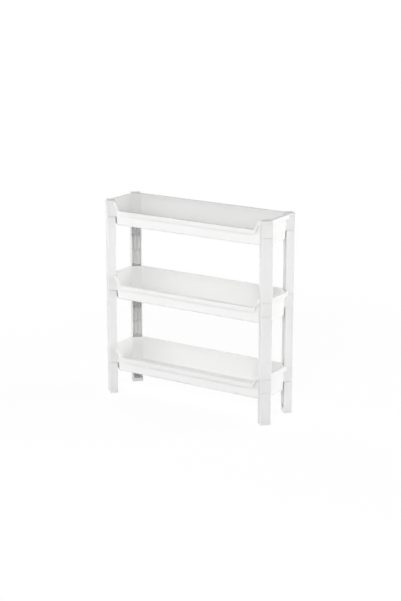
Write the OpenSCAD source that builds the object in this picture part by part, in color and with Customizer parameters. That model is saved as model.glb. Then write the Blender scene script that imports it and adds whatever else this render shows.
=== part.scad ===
// Slim three-tier storage rack of push-together moulded plastic.
// Three identical trays carry a socket at each corner. Ribbed channel posts, turned 45 degrees,
// plug into the sockets from above and below. Caps close the top sockets and feet close the legs.
// Left and right are as seen from the front, which faces -Y. The floor is at Z = 0.

/* [Rack] */
// Overall length, over the end posts
rack_length = 600; // [440:5:900]
// Overall depth, over the front and back posts
rack_depth = 176; // [160:2:300]
// Height from one tray's rim to the next tray's rim
tier_pitch = 236; // [170:2:340]
// Height from the floor to the underside of the lowest corner sockets
leg_height = 102; // [60:1:200]

/* [Posts] */
// Width of a post's outer web
post_width = 34; // [28:1:42]
// Depth of a post from the outer face of its web to the ends of its flanges
post_depth = 26; // [20:1:32]
// Wall of the posts, sockets, caps and feet
post_wall = 2.4; // [1.6:0.2:3.2]
// Radius of a post's two outer edges
post_edge_radius = 1.5; // [0.5:0.25:2.5]
// Thickness of the ribs inside a post
post_rib = 1.6; // [1:0.2:2.4]
// How far the ribs reach in from the inner face of the web
post_rib_depth = 12; // [6:1:16]
// Height between the cross ribs of a post
cross_rib_pitch = 46.5; // [20:0.5:80]
// Height of the lowest cross rib above the lower end of a post
cross_rib_start = 11; // [6:1:30]
// Number of upright ribs in a post
upright_rib_count = 2; // [1:1:3]
// Height of the shadow groove at the upper end of a post or leg
upper_joint_height = 0.8; // [0.4:0.1:2]
// Height of the shadow groove at the lower end of a post
lower_joint_height = 0.4; // [0.2:0.1:2]
// Depth of the shadow grooves
joint_depth = 2; // [0.4:0.1:2.2]

/* [Sockets] */
// Height of a tray's corner sockets
socket_height = 41; // [34:1:56]
// How far the top of a socket lies below the rim
seat_drop = 8; // [4:1:14]
// Thickness of the stop between the upper and the lower half of a socket
socket_stop = 2; // [1:0.5:3]
// Length of the spigots on the posts and legs
spigot_length = 15; // [8:1:15]
// Length of the spigots on the caps and feet
short_spigot_length = 11; // [6:1:15]
// Wall of a spigot
spigot_wall = 2; // [1.2:0.2:3]
// Length of the stepped lead-in at the end of a spigot
spigot_lead = 2; // [1:0.5:4]
// Play between a spigot and its socket, on each side
spigot_gap = 0.3; // [0.1:0.05:0.6]
// Play between a post or cap and the tray rim beside it
rim_gap = 0.4; // [0.2:0.1:1]

/* [Trays] */
// Height of a tray from its underside to its rim
tray_height = 77.5; // [62:0.5:120]
// Thickness of a tray's walls
tray_wall = 2.2; // [1.4:0.2:3.4]
// Thickness of a tray's floor between its ribs
floor_thickness = 2.4; // [1.4:0.2:4]
// Distance from the rack's end to the outer edge of the rim
rim_end_inset = 10; // [6:0.5:16]
// Distance from the rack's front or back to the outer edge of the rim
rim_side_inset = 11; // [6:0.5:16]
// How far the rim stands out from the walls
rim_width = 7; // [4:0.5:10]
// Thickness of the rim
rim_thickness = 2; // [1.4:0.2:3]
// Height of the skirt that hangs from the rim
skirt_height = 14; // [8:0.5:22]
// Thickness of the skirt
skirt_wall = 1.8; // [1.2:0.2:3]
// Radius between the top of the rim and the skirt
rim_edge_radius = 1.6; // [0.6:0.2:2.4]
// How far the walls lean in between the rim and the underside
wall_lean = 4; // [0:0.5:10]
// Radius of the upright corners of the walls
wall_corner_radius = 7; // [5:0.5:14]
// Radius between the walls and the underside
floor_radius = 6; // [5:0.5:12]

/* [Tray underside] */
// Depth of the ribs under the floor
floor_rib_depth = 3; // [1:0.5:5]
// Thickness of the ribs under the floor
floor_rib = 1.6; // [1:0.2:3]
// Largest distance between the ribs under the floor
floor_rib_pitch = 60; // [25:1:120]

/* [Front scoop] */
// How far the front lip lies below the rim
lip_drop = 29; // [12:0.5:40]
// Distance from the rack's end to the place where the rim starts to fall
scoop_start = 37.5; // [20:0.5:60]
// Radius of the crest of the scoop's curve
scoop_crest_radius = 12; // [6:0.5:30]
// Radius at the foot of the scoop's curve
scoop_foot_radius = 9.5; // [4:0.5:20]
// Steepest angle of the scoop's curve
scoop_slope = 69; // [30:1:75]

/* [Caps and feet] */
// How far the caps stand above the rim
cap_rise = 1.5; // [0.5:0.5:12]
// Bevel round the top of a cap
cap_bevel = 1.2; // [0.4:0.2:2]
// Height of a foot
foot_height = 10; // [6:0.5:20]
// Bevel round the underside of a foot
foot_bevel = 1.2; // [0.4:0.2:3]

/* [Hidden] */

left = -1;
right = 1;
front = -1;
back = 1;
plastic = [0.94, 0.94, 0.93];

// Heights of the three rims, and of a bay's post between two sockets
bottom_rim = leg_height + socket_height + seat_drop;
middle_rim = bottom_rim + tier_pitch;
top_rim = middle_rim + tier_pitch;
post_length = tier_pitch - socket_height;

// Distances along a corner's diagonal, from where the rack's front or back and its end would meet.
// A rounded outer edge falls short of that corner, so the web moves out to keep the overall size.
web_line = post_width / 2 - (2 - sqrt(2)) * post_edge_radius;
flange_line = web_line + post_depth;
wall_line = flange_line + rim_gap;
rim_corner_line = wall_line - rim_width;

cell_width = post_width - 2 * post_wall;
cell_depth = post_depth - post_wall;
pocket_depth = (socket_height - socket_stop) / 2;

wall_end_inset = rim_end_inset + rim_width;
wall_side_inset = rim_side_inset + rim_width;
floor_rise = floor_rib_depth + floor_thickness;

// The steepest angle that the scoop's two radii reach within its fall
scoop_radii = scoop_crest_radius + scoop_foot_radius;
scoop_angle = min(scoop_slope, acos(max(-1, 1 - lip_drop / scoop_radii)));
scoop_straight = (lip_drop - scoop_radii * (1 - cos(scoop_angle))) / sin(scoop_angle);
scoop_run = scoop_radii * sin(scoop_angle) + scoop_straight * cos(scoop_angle);
scoop_top_x = rack_length / 2 - scoop_start;
scoop_foot_x = scoop_top_x - scoop_run;

// Steps of the rounded forms, and how many of an octagon's corners come before its front side
round_fn = 24;
corner_steps = 4;
scoop_steps = 8;
edge_steps = 3;
corners_to_front = 6;
slack = 1;
sliver = 0.01;

// How far a wall has leaned in at a given depth below the rim
function lean(depth) = wall_lean * depth / tray_height;

// Corners of an octagon that lies in from the rack's ends, its sides and along its diagonals
function octagon(end_inset, side_inset, diagonal) =
    let (
        x = rack_length / 2 - end_inset,
        y = rack_depth / 2 - side_inset,
        x_cut = rack_length / 2 - diagonal * sqrt(2) + side_inset,
        y_cut = rack_depth / 2 - diagonal * sqrt(2) + end_inset
    )
    [[x, y_cut], [x_cut, y], [-x_cut, y], [-x, y_cut], [-x, -y_cut], [-x_cut, -y], [x_cut, -y], [x, -y_cut]];

// The same octagon with its corners rounded
function rounded_octagon(end_inset, side_inset, diagonal, radius) =
    let (centres = octagon(end_inset + radius, side_inset + radius, diagonal + radius))
    [
        for (i = [0:7], step = [0:corner_steps])
        let (angle = 45 * (i + step / corner_steps))
        centres[i] + radius * [cos(angle), sin(angle)]
    ];

// Right half of the scoop's curve, from the middle out, moved down by a thickness square to itself
function half_scoop(thickness) = [
    for (step = [0:scoop_steps])
    let (
        angle = scoop_angle * step / scoop_steps,
        radius = scoop_foot_radius + thickness
    )
    [scoop_foot_x + radius * sin(angle), scoop_foot_radius - lip_drop - radius * cos(angle)],
    for (step = [scoop_steps:-1:0])
    let (
        angle = scoop_angle * step / scoop_steps,
        radius = scoop_crest_radius - thickness
    )
    [scoop_top_x - radius * sin(angle), radius * cos(angle) - scoop_crest_radius],
    [rack_length / 2 + slack, -thickness]
];

// Whole curve from left to right, moved down square to itself by a thickness and then by a fall
function scoop_curve(thickness, fall) =
    let (half = half_scoop(thickness), count = len(half))
    [
        for (i = [count - 1:-1:0]) [-half[i].x, half[i].y - fall],
        for (point = half) [point.x, point.y - fall]
    ];

// Stands its child at a corner, with the child's +Y pointing in along the diagonal
module at_corner(side, face) {
    translate([side * rack_length / 2, face * rack_depth / 2, 0])
        rotate(atan2(-face, -side) - 90)
            children();
}

module at_every_corner() {
    for (side = [left, right], face = [front, back])
        at_corner(side, face)
            children();
}

// Outline of a post with its outer edges rounded, its web's face and flanks moved in by an inset
module post_outline(inset = 0) {
    width = post_width - 2 * inset;
    translate([-width / 2, inset + post_edge_radius])
        square([width, post_depth - inset - post_edge_radius]);
    translate([post_edge_radius - width / 2, inset])
        square([width - 2 * post_edge_radius, post_depth - inset]);
    for (side = [left, right])
        translate([side * (width / 2 - post_edge_radius), inset + post_edge_radius])
            circle(post_edge_radius, $fn = round_fn);
}

// The open cell of a post or socket, less a play on each side
module cell_outline(play) {
    translate([play - cell_width / 2, post_wall + play])
        square([cell_width - 2 * play, cell_depth - 2 * play]);
}

// Open-sided plug that fills a socket's pocket, with a stepped lead-in at its tip
module spigot(length) {
    inset = spigot_wall + spigot_gap;
    for (stage = [[0, length - spigot_lead, spigot_gap], [0, length, 2 * spigot_gap]])
        translate([0, 0, stage[0]])
            linear_extrude(stage[1])
                difference() {
                    cell_outline(stage[2]);
                    translate([inset - cell_width / 2, post_wall + inset])
                        square([cell_width - 2 * inset, cell_depth]);
                }
}

// Ribs inside a channel between two heights, with cross ribs counted up from its lower end
module channel_ribs(bottom, top) {
    cell_pitch = cell_width / (upright_rib_count + 1);
    for (i = [1:upright_rib_count])
        translate([i * cell_pitch - cell_width / 2 - post_rib / 2, post_wall - sliver, bottom])
            cube([post_rib, post_rib_depth + sliver, top - bottom]);
    for (height = [bottom + cross_rib_start:cross_rib_pitch:top - post_rib])
        translate([-cell_width / 2 - sliver, post_wall - sliver, height])
            cube([cell_width + 2 * sliver, post_rib_depth + sliver, post_rib]);
}

// Channel, open above its floor and closed at its top, with shadow grooves at its ends and a spigot
module channel(length, floor_z, lower_groove) {
    difference() {
        union() {
            translate([0, 0, lower_groove])
                linear_extrude(length - lower_groove - upper_joint_height)
                    post_outline();
            linear_extrude(length)
                post_outline(joint_depth);
        }
        translate([-cell_width / 2, post_wall, floor_z])
            cube([cell_width, post_depth, length - post_wall - floor_z]);
    }
    translate([0, 0, length - sliver])
        spigot(spigot_length + sliver);
}

module bay_post(side, face, foot_z) {
    color(plastic)
        at_corner(side, face)
            translate([0, web_line, foot_z]) {
                channel(post_length, post_wall, lower_joint_height);
                mirror([0, 0, 1])
                    translate([0, 0, -sliver])
                        spigot(spigot_length + sliver);
                channel_ribs(0, post_length);
            }
}

module upper_post(side, face) {
    bay_post(side, face, middle_rim - seat_drop);
}

module lower_post(side, face) {
    bay_post(side, face, bottom_rim - seat_drop);
}

module leg(side, face) {
    color(plastic)
        at_corner(side, face)
            translate([0, web_line, foot_height]) {
                channel(leg_height - foot_height, -slack, 0);
                channel_ribs(short_spigot_length + slack, leg_height - foot_height);
            }
}

module cap(side, face) {
    height = seat_drop + cap_rise;
    color(plastic)
        at_corner(side, face)
            translate([0, web_line, top_rim - seat_drop]) {
                difference() {
                    hull() {
                        linear_extrude(height - cap_bevel)
                            post_outline();
                        linear_extrude(height)
                            offset(delta = -cap_bevel)
                                post_outline();
                    }
                    translate([0, 0, -slack])
                        linear_extrude(height - post_wall + slack)
                            cell_outline(spigot_gap + spigot_wall);
                }
                mirror([0, 0, 1])
                    translate([0, 0, -sliver])
                        spigot(short_spigot_length + sliver);
            }
}

module foot(side, face) {
    color(plastic)
        at_corner(side, face)
            translate([0, web_line, 0]) {
                hull() {
                    translate([0, 0, foot_bevel])
                        linear_extrude(foot_height - foot_bevel)
                            post_outline();
                    linear_extrude(foot_height)
                        offset(delta = -foot_bevel)
                            post_outline();
                }
                translate([0, 0, foot_height - sliver])
                    spigot(short_spigot_length + sliver);
            }
}

// Solid with leaning walls and a rounded underside, its top edge at the rim's height
module tray_body(inset, depth, corner_radius, bottom_radius) {
    end_inset = wall_end_inset + inset;
    side_inset = wall_side_inset + inset;
    diagonal = wall_line + inset;
    low = lean(depth) + bottom_radius;
    hull() {
        linear_extrude(slack)
            polygon(rounded_octagon(end_inset, side_inset, diagonal, corner_radius));
        for (point = octagon(end_inset + low, side_inset + low, diagonal + low))
            translate([point.x, point.y, bottom_radius - depth])
                sphere(bottom_radius, $fn = round_fn);
    }
}

// Rim and skirt in cross-section, from the top's inner edge out and down to the skirt and back under
// the rim. Each point: how far in from the outer edge, how far below the top measured square to it,
// and how far it then falls straight down.
function rim_section() =
    let (reach = rim_width + tray_wall + lean(lip_drop) + slack)
    concat(
        [[reach, 0, 0]],
        [
            for (step = [0:edge_steps])
            let (angle = 90 * step / edge_steps)
            [rim_edge_radius * (1 - sin(angle)), rim_edge_radius * (1 - cos(angle)), 0]
        ],
        [
            [0, 0, skirt_height],
            [skirt_wall, 0, skirt_height],
            [skirt_wall, rim_thickness, 0],
            [reach, rim_thickness, 0]
        ]
    );

// Places along the front where the rim bends, short of the corners
function front_stops() =
    let (
        reach = rim_section()[0][0],
        corner = octagon(rim_end_inset + reach, rim_side_inset + reach, rim_corner_line + reach)[1]
    )
    [for (point = scoop_curve(0, 0)) if (abs(point.x) < corner.x - slack) point.x];

// Line round the tray at a distance in from the rim's outer edge, with the front stops in it
function rim_line(inset, stops) =
    let (
        corners = rounded_octagon(
            rim_end_inset + inset,
            rim_side_inset + inset,
            rim_corner_line + inset,
            max(wall_corner_radius - inset, slack)
        ),
        front_left_end = corners_to_front * (corner_steps + 1) - 1
    )
    concat(
        [for (i = [0:front_left_end]) corners[i]],
        [for (x = stops) [x, rim_side_inset + inset - rack_depth / 2]],
        [for (i = [front_left_end + 1:len(corners) - 1]) corners[i]]
    );

// Rim and skirt swept round the tray, dipping with the front scoop
module rim() {
    section = rim_section();
    stops = front_stops();
    points = [
        for (place = section)
        let (curve = scoop_curve(place[1], place[2]))
        for (point = rim_line(place[0], stops))
        [point.x, point.y, point.y < 0 ? lookup(point.x, curve) : -place[1] - place[2]]
    ];
    turn = len(points) / len(section);
    polyhedron(points, [
        for (k = [0:len(section) - 1], i = [0:turn - 1])
        let (next = (k + 1) % len(section), after = (i + 1) % turn)
        [k * turn + i, k * turn + after, next * turn + after, next * turn + i]
    ]);
}

// Solid blocks that the corner sockets are cut from, running in to the tray's walls
module socket_blocks() {
    reach = lean(seat_drop + socket_height) + tray_wall;
    at_every_corner()
        translate([0, web_line, -seat_drop - socket_height])
            linear_extrude(socket_height) {
                post_outline();
                translate([-post_width / 2, post_depth - sliver])
                    square([post_width, rim_gap + reach]);
            }
}

// Pockets for the spigots of the posts above and below, with the stop between them
module socket_pockets() {
    at_every_corner()
        translate([0, web_line, -seat_drop])
            for (bottom = [-pocket_depth, -socket_height - slack])
                translate([0, 0, bottom])
                    linear_extrude(pocket_depth + slack)
                        cell_outline(0);
}

// Room above the sockets for the feet of the posts or for the caps
module post_seats() {
    at_every_corner()
        translate([0, web_line, -seat_drop])
            linear_extrude(seat_drop + 2 * slack)
                translate([-post_width / 2 - rim_gap, -rack_depth])
                    square([post_width + 2 * rim_gap, rack_depth + post_depth + rim_gap]);
}

// Everything below the middle of the rim's thickness, along the scoop as well
module below_rim() {
    middle = rim_thickness / 2;
    rotate([90, 0, 0])
        linear_extrude(rack_depth)
            polygon(concat(
                scoop_curve(middle, 0),
                [[rack_length / 2 + slack, -tray_height], [-rack_length / 2 - slack, -tray_height]]
            ));
    translate([-rack_length / 2 - slack, -sliver, -tray_height])
        cube([rack_length + 2 * slack, rack_depth, tray_height - middle]);
}

// Recesses under the floor that leave a grid of ribs
module floor_recesses() {
    inset = lean(tray_height) + floor_radius;
    flat_length = rack_length - 2 * (wall_end_inset + inset);
    flat_depth = rack_depth - 2 * (wall_side_inset + inset);
    columns = ceil(flat_length / floor_rib_pitch);
    rows = ceil(flat_depth / floor_rib_pitch);
    column_pitch = (flat_length + floor_rib) / columns;
    row_pitch = (flat_depth + floor_rib) / rows;
    translate([0, 0, -tray_height - slack])
        linear_extrude(floor_rib_depth + slack)
            intersection() {
                polygon(octagon(wall_end_inset + inset, wall_side_inset + inset, wall_line + inset));
                for (column = [0:columns - 1], row = [0:rows - 1])
                    translate([column * column_pitch - flat_length / 2, row * row_pitch - flat_depth / 2])
                        square([column_pitch - floor_rib, row_pitch - floor_rib]);
            }
}

module tray(rim_z) {
    inner_corner = wall_corner_radius - tray_wall;
    inner_bottom = floor_radius - tray_wall;
    color(plastic)
        translate([0, 0, rim_z])
            difference() {
                union() {
                    intersection() {
                        union() {
                            tray_body(0, tray_height, wall_corner_radius, floor_radius);
                            socket_blocks();
                        }
                        below_rim();
                    }
                    rim();
                }
                tray_body(tray_wall, tray_height - floor_rise, inner_corner, inner_bottom);
                socket_pockets();
                post_seats();
                floor_recesses();
            }
}

tray(top_rim);  // tray_top
tray(middle_rim);  // tray_middle
tray(bottom_rim);  // tray_bottom
upper_post(left, front);  // upper_post_front_left
upper_post(right, front);  // upper_post_front_right
upper_post(left, back);  // upper_post_back_left
upper_post(right, back);  // upper_post_back_right
lower_post(left, front);  // lower_post_front_left
lower_post(right, front);  // lower_post_front_right
lower_post(left, back);  // lower_post_back_left
lower_post(right, back);  // lower_post_back_right
leg(left, front);  // leg_front_left
leg(right, front);  // leg_front_right
leg(left, back);  // leg_back_left
leg(right, back);  // leg_back_right
cap(left, front);  // cap_front_left
cap(right, front);  // cap_front_right
cap(left, back);  // cap_back_left
cap(right, back);  // cap_back_right
foot(left, front);  // foot_front_left
foot(right, front);  // foot_front_right
foot(left, back);  // foot_back_left
foot(right, back);  // foot_back_right
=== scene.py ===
# %% [markdown]
# # A slim three-tier storage rack in white moulded plastic
#
# The rack is pushed together from twenty-three mouldings: three trays, eight posts, four legs,
# four caps and four feet. The CAD model already holds their true shapes, so this lesson doesn't
# model them again. It gives them the skin that injection moulding leaves, stands them on a pale
# studio floor, and lights and frames them as in a product photograph.
#
# Its nodes stay where they are.

# %% Load the CAD frame
import math

import bpy
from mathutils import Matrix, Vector

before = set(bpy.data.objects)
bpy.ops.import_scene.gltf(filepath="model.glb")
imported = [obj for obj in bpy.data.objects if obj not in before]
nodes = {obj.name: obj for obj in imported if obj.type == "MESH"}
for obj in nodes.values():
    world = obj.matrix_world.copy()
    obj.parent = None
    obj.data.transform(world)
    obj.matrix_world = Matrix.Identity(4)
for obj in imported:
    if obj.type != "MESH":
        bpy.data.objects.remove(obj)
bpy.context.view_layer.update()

# %% [markdown]
# ## Small helpers for node trees
#
# Every finish below is a tree of shader nodes, and a few helpers keep the trees readable. The
# first feeds a socket, either with a plain value or with the output of another node. The next adds
# a node and feeds its sockets by name, also where the node stands for a whole group. Another
# starts such a group. The rest give a sum or product, a noise texture, a blend of two colours, and
# the object's own coordinates.

# %% Node helpers
# A Mix node has sockets for each kind of data, all with the same names. These are the colours'.
MIX_FIRST_COLOR = 6
MIX_SECOND_COLOR = 7
MIX_COLOR_RESULT = 2


def feed(tree, socket, value):
    if isinstance(value, bpy.types.NodeSocket):
        tree.links.new(value, socket)
    else:
        socket.default_value = value


def add_node(tree, kind, group=None, **sockets):
    node = tree.nodes.new(kind)
    if group:
        node.node_tree = group
    for name, value in sockets.items():
        feed(tree, node.inputs[name.replace("_", " ")], value)
    return node


def start_group(name, inputs, outputs):
    group = bpy.data.node_groups.new(name, "ShaderNodeTree")
    for title, kind, value in inputs:
        socket = group.interface.new_socket(title, in_out="INPUT", socket_type=kind)
        socket.default_value = value
    for title, kind in outputs:
        group.interface.new_socket(title, in_out="OUTPUT", socket_type=kind)
    return group, group.nodes.new("NodeGroupInput"), group.nodes.new("NodeGroupOutput")


def math_node(tree, operation, first, second, clamp=False):
    node = tree.nodes.new("ShaderNodeMath")
    node.operation = operation
    node.use_clamp = clamp
    feed(tree, node.inputs[0], first)
    feed(tree, node.inputs[1], second)
    return node.outputs[0]


def noise_node(tree, place, scale, detail, roughness):
    node = add_node(
        tree, "ShaderNodeTexNoise", Vector=place, Scale=scale, Detail=detail, Roughness=roughness
    )
    return node.outputs["Fac"]


def mix_colors(tree, factor, first, second):
    node = tree.nodes.new("ShaderNodeMix")
    node.data_type = "RGBA"
    feed(tree, node.inputs["Factor"], factor)
    feed(tree, node.inputs[MIX_FIRST_COLOR], first)
    feed(tree, node.inputs[MIX_SECOND_COLOR], second)
    return node.outputs[MIX_COLOR_RESULT]


def own_place(tree):
    return tree.nodes.new("ShaderNodeTexCoord").outputs["Object"]


print("helpers ready")

# %% [markdown]
# ## The moulded skin
#
# A rack like this is moulded from polypropylene in a steel tool with an eroded, faintly pebbled
# face. Seen close, the skin is an even pebble, well under a millimetre across. Over a hand's
# breadth the walls also wave a little, because the plastic shrinks unevenly as it cools. An image
# of grain would stretch over the corners, so both come from noise in the object's own
# coordinates. The group gives one height, in millimetres, and each material's Bump node takes it.

# %% Group: moulded grain and shrink waves
PEBBLES_PER_METRE = 1400.0
PEBBLE_HEIGHT_MM = 0.02
PEBBLE_DETAIL = 2.0
PEBBLE_ROUGHNESS = 0.55
WAVES_PER_METRE = 9.0
WAVE_HEIGHT_MM = 0.15
WAVE_DETAIL = 1.0
WAVE_ROUGHNESS = 0.4


def make_moulded_grain():
    group, given, result = start_group(
        "moulded_grain",
        [
            ("Pebbles per Metre", "NodeSocketFloat", PEBBLES_PER_METRE),
            ("Pebble Height", "NodeSocketFloat", PEBBLE_HEIGHT_MM),
            ("Waves per Metre", "NodeSocketFloat", WAVES_PER_METRE),
            ("Wave Height", "NodeSocketFloat", WAVE_HEIGHT_MM),
        ],
        [("Height", "NodeSocketFloat")],
    )
    pebble_count, pebble_height, wave_count, wave_height = given.outputs[:4]
    place = own_place(group)
    pebbles = noise_node(group, place, pebble_count, PEBBLE_DETAIL, PEBBLE_ROUGHNESS)
    waves = noise_node(group, place, wave_count, WAVE_DETAIL, WAVE_ROUGHNESS)
    fine = math_node(group, "MULTIPLY", pebbles, pebble_height)
    slow = math_node(group, "MULTIPLY", waves, wave_height)
    feed(group, result.inputs["Height"], math_node(group, "ADD", fine, slow))
    return group


moulded_grain = make_moulded_grain()
print("group:", moulded_grain.name)

# %% [markdown]
# ## Tone of white plastic
#
# White plastic is never one white. The pigment drifts in broad clouds where the melt has flowed
# past a rib, and upright walls keep faint streaks from the flow. Both shifts are tiny, about one
# hundredth, but without them the long tray fronts look like paper. Streaks are the same noise
# squeezed sideways, so that it runs up the walls.

# %% Group: cloud and streak tones
CLOUDS_PER_METRE = 6.0
STREAK_SQUEEZE = (60.0, 60.0, 3.0)
TONE_DETAIL = 2.0
TONE_ROUGHNESS = 0.5
CLOUD_AMOUNT = 0.3
STREAK_AMOUNT = 0.15
PLAIN_WHITE = (0.85, 0.85, 0.85, 1.0)
PLAIN_DEEP_WHITE = (0.80, 0.80, 0.80, 1.0)


def make_plastic_tone():
    group, given, result = start_group(
        "plastic_tone",
        [
            ("Pigment", "NodeSocketColor", PLAIN_WHITE),
            ("Deep Tone", "NodeSocketColor", PLAIN_DEEP_WHITE),
            ("Cloud Amount", "NodeSocketFloat", CLOUD_AMOUNT),
            ("Streak Amount", "NodeSocketFloat", STREAK_AMOUNT),
        ],
        [("Color", "NodeSocketColor")],
    )
    pigment, deep_tone, cloud_amount, streak_amount = given.outputs[:4]
    place = own_place(group)
    clouds = noise_node(group, place, CLOUDS_PER_METRE, TONE_DETAIL, TONE_ROUGHNESS)
    squeeze = add_node(group, "ShaderNodeMapping", Vector=place, Scale=STREAK_SQUEEZE)
    streaks = noise_node(group, squeeze.outputs["Vector"], 1.0, TONE_DETAIL, TONE_ROUGHNESS)
    cloud_part = math_node(group, "MULTIPLY", clouds, cloud_amount)
    streak_part = math_node(group, "MULTIPLY", streaks, streak_amount)
    depth = math_node(group, "ADD", cloud_part, streak_part, clamp=True)
    feed(group, result.inputs["Color"], mix_colors(group, depth, pigment, deep_tone))
    return group


plastic_tone = make_plastic_tone()
print("group:", plastic_tone.name)

# %% [markdown]
# ## Handling marks
#
# Satin plastic shows where it has been wiped, pushed together and stood on. Wiping polishes it in
# soft patches, so the roughness goes down there. Near the floor it is scuffed: fine level
# scratches that are rougher and a shade darker, thinning out with height. The scuffs are a noise
# stretched sideways, of which only the peaks are kept, faded by the height above the floor.

# %% Group: wiped patches and scuffs near the floor
PATCHES_PER_METRE = 14.0
SCRATCH_SQUEEZE = (90.0, 90.0, 900.0)
MARK_DETAIL = 3.0
MARK_ROUGHNESS = 0.6
SCRATCH_PEAK_START = 0.56
SCRATCH_PEAK_FULL = 0.70
NOISE_MIDDLE = 0.5
SATIN_ROUGHNESS = 0.42
WIPED_CHANGE = 0.08
SCUFF_CHANGE = 0.2
SCUFF_HEIGHT = 0.03


def make_handling_marks():
    group, given, result = start_group(
        "handling_marks",
        [
            ("Roughness", "NodeSocketFloat", SATIN_ROUGHNESS),
            ("Wiped Change", "NodeSocketFloat", WIPED_CHANGE),
            ("Scuff Change", "NodeSocketFloat", SCUFF_CHANGE),
            ("Scuff Height", "NodeSocketFloat", SCUFF_HEIGHT),
        ],
        [("Roughness", "NodeSocketFloat"), ("Scuffs", "NodeSocketFloat")],
    )
    roughness, wiped_change, scuff_change, scuff_height = given.outputs[:4]
    place = own_place(group)
    wiped = noise_node(group, place, PATCHES_PER_METRE, MARK_DETAIL, MARK_ROUGHNESS)
    stretch = add_node(group, "ShaderNodeMapping", Vector=place, Scale=SCRATCH_SQUEEZE)
    scratches = noise_node(group, stretch.outputs["Vector"], 1.0, MARK_DETAIL, MARK_ROUGHNESS)
    peaks = add_node(
        group,
        "ShaderNodeMapRange",
        Value=scratches,
        From_Min=SCRATCH_PEAK_START,
        From_Max=SCRATCH_PEAK_FULL,
    )
    height = add_node(group, "ShaderNodeSeparateXYZ", Vector=place)
    level = math_node(group, "DIVIDE", height.outputs["Z"], scuff_height)
    near_floor = math_node(group, "SUBTRACT", 1.0, level, clamp=True)
    scuffs = math_node(group, "MULTIPLY", peaks.outputs["Result"], near_floor)
    centred = math_node(group, "SUBTRACT", wiped, NOISE_MIDDLE)
    patch = math_node(group, "MULTIPLY", centred, wiped_change)
    rub = math_node(group, "MULTIPLY", scuffs, scuff_change)
    polished = math_node(group, "ADD", roughness, patch)
    feed(group, result.inputs["Roughness"], math_node(group, "ADD", polished, rub))
    feed(group, result.inputs["Scuffs"], scuffs)
    return group


handling_marks = make_handling_marks()
print("group:", handling_marks.name)

# %% [markdown]
# ## One recipe, four plastics
#
# Trays, posts, caps and feet come from different tools, so each has its own grain and gloss. The
# recipe is the same: the tone group gives the colour, the marks group the roughness, and the grain
# group the bump. A Bevel node turns the shading normal within a millimetre of each edge. The real
# edges are broken like that, and it is what makes them catch a thin line of light, while the mesh
# stays the CAD's own.
#
# White polypropylene is never quite opaque. Light goes a few millimetres into it and comes out
# beside the place where it went in, so the walls pass a little of it on. That lifts the insides of
# the post channels and softens the deepest corners. The shader's subsurface part does this, with
# the same depth for all colours, so that the white stays neutral. Numbers that are the same all
# over sit on the shader's own sockets.

# %% The plastic recipe
REFRACTION = 1.49
SHINE = 0.25
SCATTER_SHARE = 0.6
SCATTER_DEPTH = 0.003
SAME_FOR_ALL_COLORS = (1.0, 1.0, 1.0)
SCUFF_TONE = 0.82
BUMP_STRENGTH = 0.6
MILLIMETRE = 0.001
EDGE_SAMPLES = 6


def moulded_plastic(name, pigment, deep_tone, roughness, pebble_height, scuff_height, edge_radius):
    material = bpy.data.materials.new(name)
    material.use_nodes = True
    tree = material.node_tree
    shader = tree.nodes["Principled BSDF"]
    shader.inputs["IOR"].default_value = REFRACTION
    shader.inputs["Specular IOR Level"].default_value = SHINE
    shader.inputs["Subsurface Weight"].default_value = SCATTER_SHARE
    shader.inputs["Subsurface Radius"].default_value = SAME_FOR_ALL_COLORS
    shader.inputs["Subsurface Scale"].default_value = SCATTER_DEPTH

    tone = add_node(
        tree,
        "ShaderNodeGroup",
        plastic_tone,
        Pigment=(*pigment, 1.0),
        Deep_Tone=(*deep_tone, 1.0),
    )
    marks = add_node(
        tree, "ShaderNodeGroup", handling_marks, Roughness=roughness, Scuff_Height=scuff_height
    )
    rubbed_tone = (*[SCUFF_TONE * value for value in deep_tone], 1.0)
    color = mix_colors(tree, marks.outputs["Scuffs"], tone.outputs["Color"], rubbed_tone)
    feed(tree, shader.inputs["Base Color"], color)
    feed(tree, shader.inputs["Roughness"], marks.outputs["Roughness"])

    grain = add_node(tree, "ShaderNodeGroup", moulded_grain, Pebble_Height=pebble_height)
    soft_edge = add_node(tree, "ShaderNodeBevel", Radius=edge_radius)
    soft_edge.samples = EDGE_SAMPLES
    bump = add_node(
        tree,
        "ShaderNodeBump",
        Strength=BUMP_STRENGTH,
        Distance=MILLIMETRE,
        Height=grain.outputs["Height"],
        Normal=soft_edge.outputs["Normal"],
    )
    feed(tree, shader.inputs["Normal"], bump.outputs["Normal"])
    return material


print("recipe ready")

# %% [markdown]
# ## The four finishes
#
# The trays have the smoothest skin, because they are what gets wiped out. The posts and legs are a
# touch coarser. Caps are small and catch the light, and feet are scuffed where they slide on the
# floor. All are the same neutral white. Pebbles are measured in millimetres, and scuffs and edges
# in metres.

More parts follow.
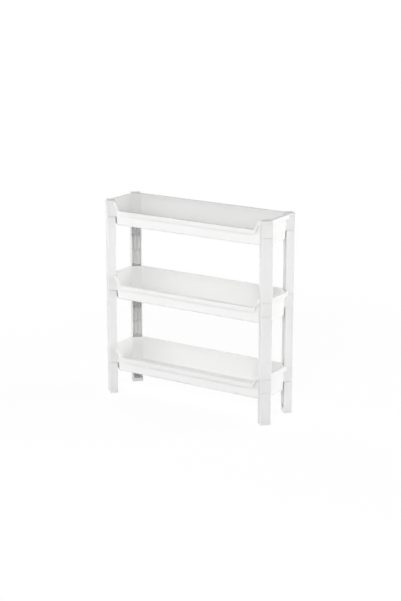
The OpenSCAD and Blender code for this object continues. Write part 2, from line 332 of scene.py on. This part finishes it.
# %% Make and assign the plastics
plastics = {
    "tray": moulded_plastic(
        "white_tray_plastic",
        pigment=(0.875, 0.875, 0.870),
        deep_tone=(0.840, 0.840, 0.836),
        roughness=0.50,
        pebble_height=0.020,
        scuff_height=0.001,
        edge_radius=0.0010,
    ),
    "post": moulded_plastic(
        "white_post_plastic",
        pigment=(0.870, 0.870, 0.866),
        deep_tone=(0.832, 0.832, 0.828),
        roughness=0.52,
        pebble_height=0.026,
        scuff_height=0.060,
        edge_radius=0.0008,
    ),
    "cap": moulded_plastic(
        "white_cap_plastic",
        pigment=(0.865, 0.865, 0.860),
        deep_tone=(0.828, 0.828, 0.824),
        roughness=0.50,
        pebble_height=0.024,
        scuff_height=0.001,
        edge_radius=0.0008,
    ),
    "foot": moulded_plastic(
        "white_foot_plastic",
        pigment=(0.850, 0.850, 0.845),
        deep_tone=(0.790, 0.790, 0.785),
        roughness=0.55,
        pebble_height=0.030,
        scuff_height=0.020,
        edge_radius=0.0008,
    ),
}


def plastic_for(node_name):
    for piece in ("tray", "cap", "foot"):
        if node_name.startswith(piece):
            return plastics[piece]
    return plastics["post"]


for name, node in nodes.items():
    node.data.materials.clear()
    node.data.materials.append(plastic_for(name))
print({piece: sum(plastic_for(n) == made for n in nodes) for piece, made in plastics.items()})

# %% [markdown]
# ## A white studio floor
#
# The rack stands on a white sweep that fades into a white wall. The floor is a flat sheet with a
# faint texture. It lights the rack from below as a matte white floor does. To the camera it glows
# almost to white, and a thin share of its own shading makes up the rest, so the shadow round the
# feet stays, faint as in a studio picture. Farther out the glow alone is left, exactly white, so
# the edge of the sheet can't be seen against the wall.

# %% Floor
FLOOR_HALF_SIZE = 4.0
FLOOR_PAPER = 0.86
FLOOR_GRAINS_PER_METRE = 300.0
FLOOR_GRAIN_DETAIL = 2.0
FLOOR_GRAIN_ROUGHNESS = 0.5
FLOOR_GRAIN_HEIGHT = 0.0005
FLOOR_BUMP_STRENGTH = 0.1
SHADOW_SHARE = 0.10
NEAR_GLOW = 0.91
SHADOW_NEAR = 0.9
SHADOW_FAR = 1.8


def diffuse_node(tree, value):
    return add_node(tree, "ShaderNodeBsdfDiffuse", Color=(value, value, value, 1.0))


def mix_shaders(tree, factor, first, second):
    mix = tree.nodes.new("ShaderNodeMixShader")
    tree.links.new(factor, mix.inputs["Fac"])
    tree.links.new(first.outputs[0], mix.inputs[1])
    tree.links.new(second.outputs[0], mix.inputs[2])
    return mix


def looked_at(tree):
    path = tree.nodes.new("ShaderNodeLightPath")
    straight = math_node(tree, "ADD", path.outputs["Is Camera Ray"], path.outputs["Is Glossy Ray"])
    return math_node(tree, "ADD", straight, path.outputs["Is Transmission Ray"], clamp=True)


def studio_floor_material():
    material = bpy.data.materials.new("white_sweep")
    material.use_nodes = True
    tree = material.node_tree
    tree.nodes.clear()
    place = own_place(tree)

    grain = noise_node(
        tree, place, FLOOR_GRAINS_PER_METRE, FLOOR_GRAIN_DETAIL, FLOOR_GRAIN_ROUGHNESS
    )
    bump = add_node(
        tree,
        "ShaderNodeBump",
        Strength=FLOOR_BUMP_STRENGTH,
        Distance=FLOOR_GRAIN_HEIGHT,
        Height=grain,
    )
    paper = diffuse_node(tree, FLOOR_PAPER)
    feed(tree, paper.inputs["Normal"], bump.outputs["Normal"])

    near = tree.nodes.new("ShaderNodeAddShader")
    near_glow = add_node(tree, "ShaderNodeEmission", Strength=NEAR_GLOW)
    tree.links.new(diffuse_node(tree, SHADOW_SHARE).outputs[0], near.inputs[0])
    tree.links.new(near_glow.outputs[0], near.inputs[1])
    far = add_node(tree, "ShaderNodeEmission", Strength=1.0)
    distance = add_node(tree, "ShaderNodeVectorMath", Vector=place)
    distance.operation = "LENGTH"
    fade = add_node(
        tree,
        "ShaderNodeMapRange",
        Value=distance.outputs["Value"],
        From_Min=SHADOW_NEAR,
        From_Max=SHADOW_FAR,
    )
    fade.interpolation_type = "SMOOTHSTEP"
    seen = mix_shaders(tree, fade.outputs["Result"], near, far)

    output = tree.nodes.new("ShaderNodeOutputMaterial")
    surface = mix_shaders(tree, looked_at(tree), paper, seen)
    tree.links.new(surface.outputs[0], output.inputs["Surface"])
    return material


def add_floor():
    mesh = bpy.data.meshes.new("studio_floor")
    half = FLOOR_HALF_SIZE
    corners = [(-half, -half, 0), (half, -half, 0), (half, half, 0), (-half, half, 0)]
    mesh.from_pydata(corners, [], [(0, 1, 2, 3)])
    mesh.materials.append(studio_floor_material())
    floor = bpy.data.objects.new("studio_floor", mesh)
    bpy.context.scene.collection.objects.link(floor)
    return floor


print("floor:", add_floor().name)

# %% [markdown]
# ## A pale room
#
# In the photograph the upright faces are nearly white, yet each direction has its own grey: the
# right ends are the brightest, the fronts come next, and whatever faces left is dull. The rims,
# which face up, are duller than the fronts. So the light comes from the sides and not from
# overhead. The world stands in for the walls of a pale room: it gives light from a band about
# halfway up, and fades out towards the floor and the ceiling. Looked at straight, it is white.

# %% World
WHITE = (1.0, 1.0, 1.0, 1.0)
BAND_MIDDLE = 0.5
BAND_REACH = 0.35
BAND_LIGHT = 0.73


def add_world():
    world = bpy.data.worlds.new("pale_room")
    world.use_nodes = True
    bpy.context.scene.world = world
    tree = world.node_tree
    tree.nodes.clear()
    direction = tree.nodes.new("ShaderNodeTexCoord").outputs["Generated"]
    split = add_node(tree, "ShaderNodeSeparateXYZ", Vector=direction)
    off_middle = math_node(tree, "SUBTRACT", split.outputs["Z"], BAND_MIDDLE)
    share = math_node(tree, "DIVIDE", math_node(tree, "ABSOLUTE", off_middle, 0.0), BAND_REACH)
    band = math_node(tree, "SUBTRACT", 1.0, share, clamp=True)
    strength = math_node(tree, "MULTIPLY", band, BAND_LIGHT)
    room = add_node(tree, "ShaderNodeBackground", Color=WHITE, Strength=strength)
    wall = add_node(tree, "ShaderNodeBackground", Color=WHITE, Strength=1.0)
    output = tree.nodes.new("ShaderNodeOutputWorld")
    surface = mix_shaders(tree, looked_at(tree), room, wall)
    tree.links.new(surface.outputs[0], output.inputs["Surface"])
    return world


print("world:", add_world().name)

# %% [markdown]
# ## Light from the sides
#
# Five wide square panels stand round the rack and face the middle of its height: two in front,
# two behind it to the right, which light the right ends, and one behind it to the left. None
# stands straight to the left, so what faces left stays dull. In the photograph the fronts dim a
# little from left to right, and so the front left panel stands nearer than the others.

# %% Light panels
LIGHT_TARGET = Vector((0.0, 0.0, 0.31))
PANEL_SIZE = 1.4
PANELS = [
    ("front_left_panel", (-0.95, -1.65, 0.67), 12.0),
    ("high_front_right_panel", (1.45, -2.5, 1.58), 40.0),
    ("low_back_right_panel", (2.6, 1.5, 0.35), 38.0),
    ("high_back_right_panel", (1.98, 1.98, 1.75), 28.0),
    ("back_left_panel", (-2.6, 1.5, 0.9), 44.0),
]


def add_panel(name, position, watts):
    data = bpy.data.lights.new(name, "AREA")
    data.size = PANEL_SIZE
    data.energy = watts
    panel = bpy.data.objects.new(name, data)
    bpy.context.scene.collection.objects.link(panel)
    panel.location = position
    panel.rotation_euler = (panel.location - LIGHT_TARGET).to_track_quat("Z", "Y").to_euler()
    return panel


for panel in PANELS:
    print("panel:", add_panel(*panel).name)

# %% [markdown]
# ## The camera
#
# The photograph is taken from in front and to the right, a little above the rack, through a long
# lens: upright edges stay nearly parallel. The angle and distance come from fitting a camera to
# about sixty edges of the rack, and the small shift puts the rack where it is in the frame.

# %% Camera
FOCAL_LENGTH_MM = 89.65
SENSOR_WIDTH_MM = 36.0
CAMERA_AZIMUTH = 32.73
CAMERA_ELEVATION = 15.65
CAMERA_DISTANCE = 4.6115
CAMERA_TARGET = Vector((0.0, 0.0, 0.3121))
SHIFT_X = 0.0040
SHIFT_Y = 0.0078


def add_camera():
    azimuth = math.radians(CAMERA_AZIMUTH)
    elevation = math.radians(CAMERA_ELEVATION)
    towards = Vector((
        math.sin(azimuth) * math.cos(elevation),
        -math.cos(azimuth) * math.cos(elevation),
        math.sin(elevation),
    ))
    data = bpy.data.cameras.new("photo_camera")
    data.lens = FOCAL_LENGTH_MM
    data.sensor_width = SENSOR_WIDTH_MM
    data.shift_x = SHIFT_X
    data.shift_y = SHIFT_Y
    camera = bpy.data.objects.new("photo_camera", data)
    bpy.context.scene.collection.objects.link(camera)
    camera.location = CAMERA_TARGET + towards * CAMERA_DISTANCE
    camera.rotation_euler = towards.to_track_quat("Z", "Y").to_euler()
    bpy.context.scene.camera = camera
    return camera


print("camera at", [round(value, 3) for value in add_camera().location])

# %% [markdown]
#
# The Standard view shows each colour as it is written.

# %% Finish
bpy.context.scene.view_settings.view_transform = "Standard"
